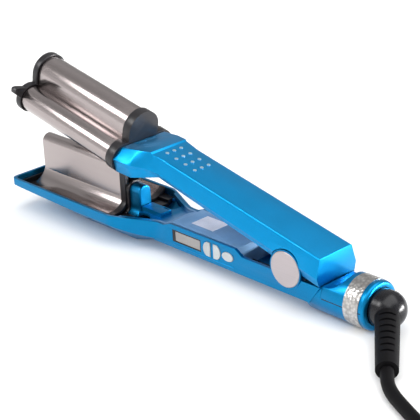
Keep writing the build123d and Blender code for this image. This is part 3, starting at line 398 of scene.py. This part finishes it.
def wind_coil(middle):
    """Points of the coil, wound in three layers of three turns, each turn easing over into the next."""
    ring_step, layer_step = 0.0075, 0.00755         # between the centres of neighbouring turns
    outer, inner = middle + ring_step, middle - ring_step
    low = 0.0038                                    # centre of the cord above the floor
    mid, top = low + layer_step, low + 2 * layer_step
    order = [(outer, low), (middle, low), (inner, low), (inner, mid), (inner, top),
             (middle, top), (middle, mid), (outer, mid), (outer, top)]
    steps, last_steps = 16, 4                       # points in a turn, and after the last turn
    ease_from = 0.6                                 # share of a turn at which it starts to leave for the next
    out_step, down_step = 0.0018, 0.0030            # how the end leaves the coil, per point
    points = []
    for step in range(len(order) * steps + last_steps):
        turn, part = divmod(step, steps)
        radius, height = order[min(turn, len(order) - 1)]
        if turn == len(order):
            radius += out_step * part
            height -= down_step * part
        elif turn + 1 < len(order):
            share = max(0.0, (part / steps - ease_from) / (1 - ease_from))
            share = share * share * (3 - 2 * share)
            radius += (order[turn + 1][0] - radius) * share
            height += (order[turn + 1][1] - height) * share
        angle = COIL_START + 2 * math.pi * step / steps
        points.append(COIL_CENTRE + Vector((radius * math.cos(angle), radius * math.sin(angle), height)))
    return points


class WAVER_OT_cord(bpy.types.Operator):
    """The mains cord: its run from the sleeve, its coil and its tail to the plug"""
    bl_idname = "waver.cord"
    bl_label = "Cord"

    def execute(self, context):
        sizes = context.scene.waver_sizes
        points = [Vector(place) for place in CORD_ROUTE]
        points += wind_coil(sizes.coil_radius)
        points += [Vector(place) for place in TAIL_ROUTE]
        curve = bpy.data.curves.new("mains_cord", "CURVE")
        curve.dimensions = "3D"
        spline = curve.splines.new("NURBS")
        spline.points.add(len(points) - 1)
        for point, place in zip(spline.points, points):
            point.co = (*place, 1.0)
        spline.order_u = 3
        spline.use_endpoint_u = True
        curve.bevel_depth = sizes.cord_radius
        curve.bevel_resolution = 5
        curve.use_fill_caps = True
        curve.resolution_u = 6
        piece = bpy.data.objects.new("mains_cord", curve)
        context.scene.collection.objects.link(piece)
        finish_piece(piece, "body", FINISHES["rubber"], ("cord", "cord_coil", "cord_tail"))
        return {"FINISHED"}


# ---------------------------------------------------------------- casings, plates and trim
class WAVER_OT_casings(bpy.types.Operator):
    """The lacquered shells of the handle, the jaw and the arm, and the deck between them"""
    bl_idname = "waver.casings"
    bl_label = "Casings"

    def execute(self, context):
        size = context.scene.waver_sizes.edge_round
        for solid, name, body, slot, material, width, pierced in (
            # the lower shell, the collar cover and the bridge hump take the darkened copy of the lacquer,
            # which is painted shade
            ("lower_casing", "lower_shell", "body", "casing_blue", "lacquer_low", size, True),
            ("rear_cover", "collar_cover", "body", "casing_blue", "lacquer_low", size, False),
            ("upper_casing", "arm_shell", "arm", "casing_blue", "lacquer", size * 1.6, False),
            ("upper_inner_cover", "arm_underside", "arm", "deck_blue", "lacquer", size, True),
            ("handle_deck", "inner_deck", "body", "deck_blue", "deck", size, True),
            ("jaw_bridge", "bridge_hump", "body", "deck_blue", "lacquer_low", size, False),
        ):
            piece = moulded(solid, name, width, pierced)
            finish_piece(piece, body, FINISHES[material], (solid,))
        return {"FINISHED"}


class WAVER_OT_plates(bpy.types.Operator):
    """The two hot plates"""
    bl_idname = "waver.plates"
    bl_label = "Plates"

    def execute(self, context):
        size = context.scene.waver_sizes.edge_round
        for solid, name, body, width in (
            ("upper_plate", "barrel_plate", "arm", size * 0.5),
            ("lower_plate", "ridge_plate", "body", size * 0.6),
        ):
            piece = moulded(solid, name, width)
            finish_piece(piece, body, FINISHES["titanium"], (solid,))
        return {"FINISHED"}


class WAVER_OT_trim(bpy.types.Operator):
    """The dark caps and frames that hold the plates"""
    bl_idname = "waver.trim"
    bl_label = "Trim"

    def execute(self, context):
        size = context.scene.waver_sizes.edge_round
        for solid, name, body, width in (
            ("upper_front_cap", "front_cap", "arm", size * 1.2),
            ("upper_rear_cap", "rear_cap", "arm", size * 1.2),
            ("ridge_end_frame", "end_frame", "body", size * 1.2),
            ("plate_carrier", "carrier", "body", size * 0.8),
        ):
            piece = moulded(solid, name, width)
            finish_piece(piece, body, FINISHES["trim"], (solid,))
        return {"FINISHED"}


class WAVER_OT_fittings(bpy.types.Operator):
    """Finishes of the solids that stay as they are"""
    bl_idname = "waver.fittings"
    bl_label = "Fittings"

    def execute(self, context):
        kept = {
            "steel": ("hinge_pin", "arm_spring", "casing_screws", "arm_screws",
                      "heater_clamp", "heater_clips"),
            "silver": ("hinge_cap_near", "hinge_cap_far"),
            "dots": ("grip_dots",),
            "hammered": ("collar_band",),
            "black": ("swivel_socket", "display_module", "tact_switches", "swivel_elbow", "power_leads"),
            "rubber": ("cord_sleeve", "plug_body"),
            "white": ("button_down", "button_up", "power_button"),
            "pane": ("display_window",),
            "board": ("control_board",),
            "ceramic": ("lower_heater", "lower_sensor", "upper_heaters", "upper_sensor"),
            "plate": ("label_plate",),
            "brass": ("plug_blades",),
        }
        for material, names in kept.items():
            for name in names:
                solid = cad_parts[name]
                solid.data.materials.clear()
                solid.data.materials.append(FINISHES[material])
        return {"FINISHED"}


# ---------------------------------------------------------------- small details
class WAVER_OT_surround(bpy.types.Operator):
    """The dark surround in the display's opening, with the pane left clear"""
    bl_idname = "waver.surround"
    bl_label = "Display surround"

    def execute(self, context):
        left, right, edge = 0.0024, 0.0006, 0.0007      # widths at the sides, and at the top and bottom
        low, high = corners("display_window")
        face = low.y
        front = face - context.scene.waver_sizes.surround
        surround = block("display_surround", Vector((low.x, front, low.z)), Vector((high.x, face, high.z)))
        past = 0.001                                    # the cutter beyond the surround on each face
        cutter = block("pane_cutter", Vector((low.x + left, front - past, low.z + edge)),
                       Vector((high.x - right, face + past, high.z - edge)))
        cut = surround.modifiers.new("Pane", "BOOLEAN")
        cut.object = cutter
        cut.solver = "EXACT"
        apply_all(surround)
        bpy.data.objects.remove(cutter, do_unlink=True)
        finish_piece(surround, "body", FINISHES["black"])
        return {"FINISHED"}


class WAVER_OT_bead(bpy.types.Operator):
    """The raised line under the display and the buttons"""
    bl_idname = "waver.bead"
    bl_label = "Control line"

    def execute(self, context):
        recess = 0.0003                                 # the pane behind the casing's wall
        below = 0.0019                                  # the line below the pane
        start_gap, end_gap = 0.0002, 0.0005             # the line short of the pane and of the power button
        window_low, _ = corners("display_window")
        _, button_high = corners("power_button")
        start = window_low.x + start_gap
        end = button_high.x - end_gap
        bpy.ops.object.select_all(action="DESELECT")
        bpy.ops.mesh.primitive_cylinder_add(
            vertices=24, radius=context.scene.waver_sizes.bead_radius, depth=end - start,
            location=((start + end) / 2, window_low.y - recess, window_low.z - below),
            rotation=(0, math.pi / 2, 0))
        line = context.object
        line.name = "control_line"
        settle(line)
        soft = line.modifiers.new("Rounded ends", "BEVEL")
        soft.width = 0.00025
        soft.segments = 3
        soft.limit_method = "ANGLE"
        soft.angle_limit = math.radians(60)
        apply_all(line)
        smooth(line, 40)
        finish_piece(line, "body", FINISHES["lacquer"])
        return {"FINISHED"}


class WAVER_OT_seams(bpy.types.Operator):
    """The dark joint between the collar's two halves, on each side and on both ends of the band"""
    bl_idname = "waver.seams"
    bl_label = "Collar seams"

    def execute(self, context):
        sizes = context.scene.waver_sizes
        sunk = 0.00004                                  # the joint's middle below the collar's side
        first_gap, last_gap = 0.00045, 0.0021           # the joint short of the cover's two ends
        band_gap = 0.0002                               # the joint short of the band
        cover_low, cover_high = corners("rear_cover")
        band_low, band_high = corners("collar_band")
        side = cover_low.y + sunk
        half = Vector((0, sizes.seam_depth / 2, sizes.seam_width / 2))
        near_seams = []
        for place, start, end in (
            ("front", cover_low.x + first_gap, band_low.x - band_gap),
            ("end", band_high.x + band_gap, cover_high.x - last_gap),
        ):
            low = Vector((start, side, cover_low.z)) - half
            high = Vector((end, side, cover_low.z)) + half
            near_seams.append(block("collar_seam_near_" + place, low, high))
        far_seams = [twin(seam, seam.name.replace("near", "far"), -2 * side) for seam in near_seams]
        for seam in (*near_seams, *far_seams):
            finish_piece(seam, "body", FINISHES["black"])
        return {"FINISHED"}


class WAVER_OT_rings(bpy.types.Operator):
    """The lacquered rings round the hinge caps"""
    bl_idname = "waver.rings"
    bl_label = "Cap rings"

    def execute(self, context):
        sizes = context.scene.waver_sizes
        side = 0.0150                                   # the ring's middle from the tool's middle
        low, high = corners("hinge_cap_near")
        hinge = Vector(((low.x + high.x) / 2, -side, (low.z + high.z) / 2))
        reach = (high.x - low.x) / 2 + sizes.ring_gap
        bpy.ops.object.select_all(action="DESELECT")
        bpy.ops.mesh.primitive_circle_add(
            vertices=12, radius=sizes.ring_radius, location=hinge + Vector((reach, 0, 0)))
        near = context.object
        near.name = "near_cap_ring"
        settle(near)
        bpy.ops.object.mode_set(mode="EDIT")
        bpy.ops.mesh.select_all(action="SELECT")
        bpy.ops.mesh.spin(steps=96, angle=2 * math.pi, center=hinge, axis=(0, 1, 0))
        bpy.ops.mesh.select_all(action="SELECT")
        bpy.ops.mesh.remove_doubles(threshold=MERGE)
        bpy.ops.mesh.normals_make_consistent(inside=False)
        bpy.ops.object.mode_set(mode="OBJECT")
        smooth(near, 60)
        far = twin(near, "far_cap_ring", 2 * side)
        for ring in (near, far):
            finish_piece(ring, "body", FINISHES["lacquer"])
        return {"FINISHED"}


# ---------------------------------------------------------------- stage
# brightness of the studio by the angle about the X axis, in degrees from +Y by way of the zenith
TENT = [(-180, 1.3), (-150, 1.3), (-90, 1.1), (-35, 0.6), (-8, 0.3), (35, 0.5),
        (60, 0.6), (100, 0.45), (119, 0.5), (153, 0.7), (180, 1.1)]
# lamps of the tent: from left to right in the direction's X, from low to high in degrees about the X axis
PANELS = [
    dict(left=-0.56, right=-0.28, low=128, high=146, soft=0.06, light=9.0),
    dict(left=-0.05, right=0.6, low=55, high=125, soft=0.15, light=2.4),
    dict(left=0.56, right=0.9, low=-5, high=7, soft=0.05, light=95.0),
]
# the camera: the point it looks at, and its turn about Z, its rise above the floor and its roll, in degrees
AIM = Vector((0.0568, 0.02145, 0.02164))
TURN, RISE, ROLL = 47.23, 23.49, -2.84


def maths(tree, kind, first, second):
    """One step of arithmetic on two values, each a number or a socket."""
    made = tree.nodes.new("ShaderNodeMath")
    made.operation = kind
    for socket, value in zip(made.inputs, (first, second)):
        if isinstance(value, (int, float)):
            socket.default_value = value
        else:
            tree.links.new(value, socket)
    return made.outputs[0]


def band(tree, source, low, high, soft):
    """One between low and high, fading to nothing on each side."""
    rise = spread(tree, source, 0.0, 1.0, low - soft, low)
    fall = spread(tree, source, 1.0, 0.0, high, high + soft)
    return maths(tree, "MULTIPLY", rise, fall)


def tent_light(tree, turn):
    """Brightness of the tent by the angle about the X axis."""
    brightest = max(light for _, light in TENT)
    ramp = tree.nodes.new("ShaderNodeValToRGB")
    stops = ramp.color_ramp.elements
    stops.remove(stops[1])
    for index, (angle, light) in enumerate(TENT):
        share = (angle + 180) / 360
        stop = stops[0] if index == 0 else stops.new(share)
        stop.position = share
        stop.color = (*(3 * [light / brightest]), 1)
    tree.links.new(spread(tree, turn, 0.0, 1.0, -math.pi, math.pi), ramp.inputs["Fac"])
    return maths(tree, "MULTIPLY", ramp.outputs["Color"], brightest)


def surroundings():
    """A studio tent that runs along the tool, with its lamps."""
    world = bpy.data.worlds.new("studio_world")
    world.use_nodes = True
    tree = world.node_tree
    place = tree.nodes.new("ShaderNodeTexCoord")
    parts = tree.nodes.new("ShaderNodeSeparateXYZ")
    tree.links.new(place.outputs["Generated"], parts.inputs[0])
    turn = maths(tree, "ARCTAN2", parts.outputs["Z"], parts.outputs["Y"])
    total = tent_light(tree, turn)
    for panel in PANELS:
        across = band(tree, parts.outputs["X"], panel["left"], panel["right"], panel["soft"])
        around = band(tree, turn, math.radians(panel["low"]), math.radians(panel["high"]), panel["soft"])
        lamp = maths(tree, "MULTIPLY", maths(tree, "MULTIPLY", across, around), panel["light"])
        total = maths(tree, "ADD", total, lamp)
    tree.links.new(total, tree.nodes["Background"].inputs["Strength"])
    tree.nodes["Background"].inputs["Color"].default_value = (1, 1, 1, 1)
    return world


def studio_floor(side):
    """A pale, dull floor."""
    bpy.ops.object.select_all(action="DESELECT")
    bpy.ops.mesh.primitive_plane_add(size=1.0, location=(0, 0, 0))
    floor = bpy.context.object
    floor.name = "studio_floor"
    floor.scale = (side, side, 1)
    settle(floor)
    material, _, shader = empty_finish("pale_floor")
    shader.inputs["Base Color"].default_value = (0.93, 0.93, 0.93, 1)
    shader.inputs["Roughness"].default_value = 0.7
    shader.inputs["Specular IOR Level"].default_value = 0.1
    floor.data.materials.append(material)
    return floor


def studio_camera(lens, distance):
    """A camera turned, raised and rolled about the point it looks at."""
    turn, rise, roll = math.radians(TURN), math.radians(RISE), math.radians(ROLL)
    back = Vector((math.sin(turn) * math.cos(rise), -math.cos(turn) * math.cos(rise), math.sin(rise)))
    level = Vector((math.cos(turn), math.sin(turn), 0))
    upright = back.cross(level)
    right = level * math.cos(roll) + upright * math.sin(roll)
    up = upright * math.cos(roll) - level * math.sin(roll)
    camera = bpy.data.cameras.new("camera")
    camera.lens = lens
    camera.sensor_width = 36.0
    camera.clip_start = 0.01
    holder = bpy.data.objects.new("camera", camera)
    place = AIM + back * distance
    holder.matrix_world = Matrix((
        (right.x, up.x, back.x, place.x), (right.y, up.y, back.y, place.y),
        (right.z, up.z, back.z, place.z), (0, 0, 0, 1)))
    return holder


class WAVER_OT_stage(bpy.types.Operator):
    """Floor, surroundings with their light, and camera"""
    bl_idname = "waver.stage"
    bl_label = "Stage"

    def execute(self, context):
        scene = context.scene
        stage = scene.waver_stage
        floor = studio_floor(stage.floor)
        scene.world = surroundings()
        scene.view_settings.view_transform = "Standard"
        camera = studio_camera(stage.lens, stage.distance)
        scene.collection.objects.link(camera)
        scene.camera = camera
        return {"FINISHED"}


# ---------------------------------------------------------------- add-on
class WAVER_PT_panel(bpy.types.Panel):
    """Lists the pieces of the hair waver"""
    bl_label = "Hair Waver"
    bl_idname = "WAVER_PT_panel"
    bl_space_type = "VIEW_3D"
    bl_region_type = "UI"
    bl_category = "Hair Waver"

    def draw(self, context):
        for operator in OPERATORS:
            self.layout.operator(operator.bl_idname)


OPERATORS = (WAVER_OT_stage, WAVER_OT_cord, WAVER_OT_casings, WAVER_OT_plates, WAVER_OT_trim,
             WAVER_OT_fittings, WAVER_OT_surround, WAVER_OT_bead, WAVER_OT_seams, WAVER_OT_rings)
CLASSES = (HairWaverPaint, HairWaverSizes, HairWaverStage, *OPERATORS, WAVER_PT_panel)


def register():
    for made in CLASSES:
        bpy.utils.register_class(made)
    bpy.types.Scene.waver_paint = bpy.props.PointerProperty(type=HairWaverPaint)
    bpy.types.Scene.waver_sizes = bpy.props.PointerProperty(type=HairWaverSizes)
    bpy.types.Scene.waver_stage = bpy.props.PointerProperty(type=HairWaverStage)


def unregister():
    del bpy.types.Scene.waver_stage
    del bpy.types.Scene.waver_sizes
    del bpy.types.Scene.waver_paint
    for made in reversed(CLASSES):
        bpy.utils.unregister_class(made)


def main():
    register()
    make_finishes()
    bpy.ops.waver.stage()
    bpy.ops.waver.cord()
    bpy.ops.waver.casings()
    bpy.ops.waver.plates()
    bpy.ops.waver.trim()
    bpy.ops.waver.fittings()
    bpy.ops.waver.surround()
    bpy.ops.waver.bead()
    bpy.ops.waver.seams()
    bpy.ops.waver.rings()


if __name__ == "__main__":
    main()
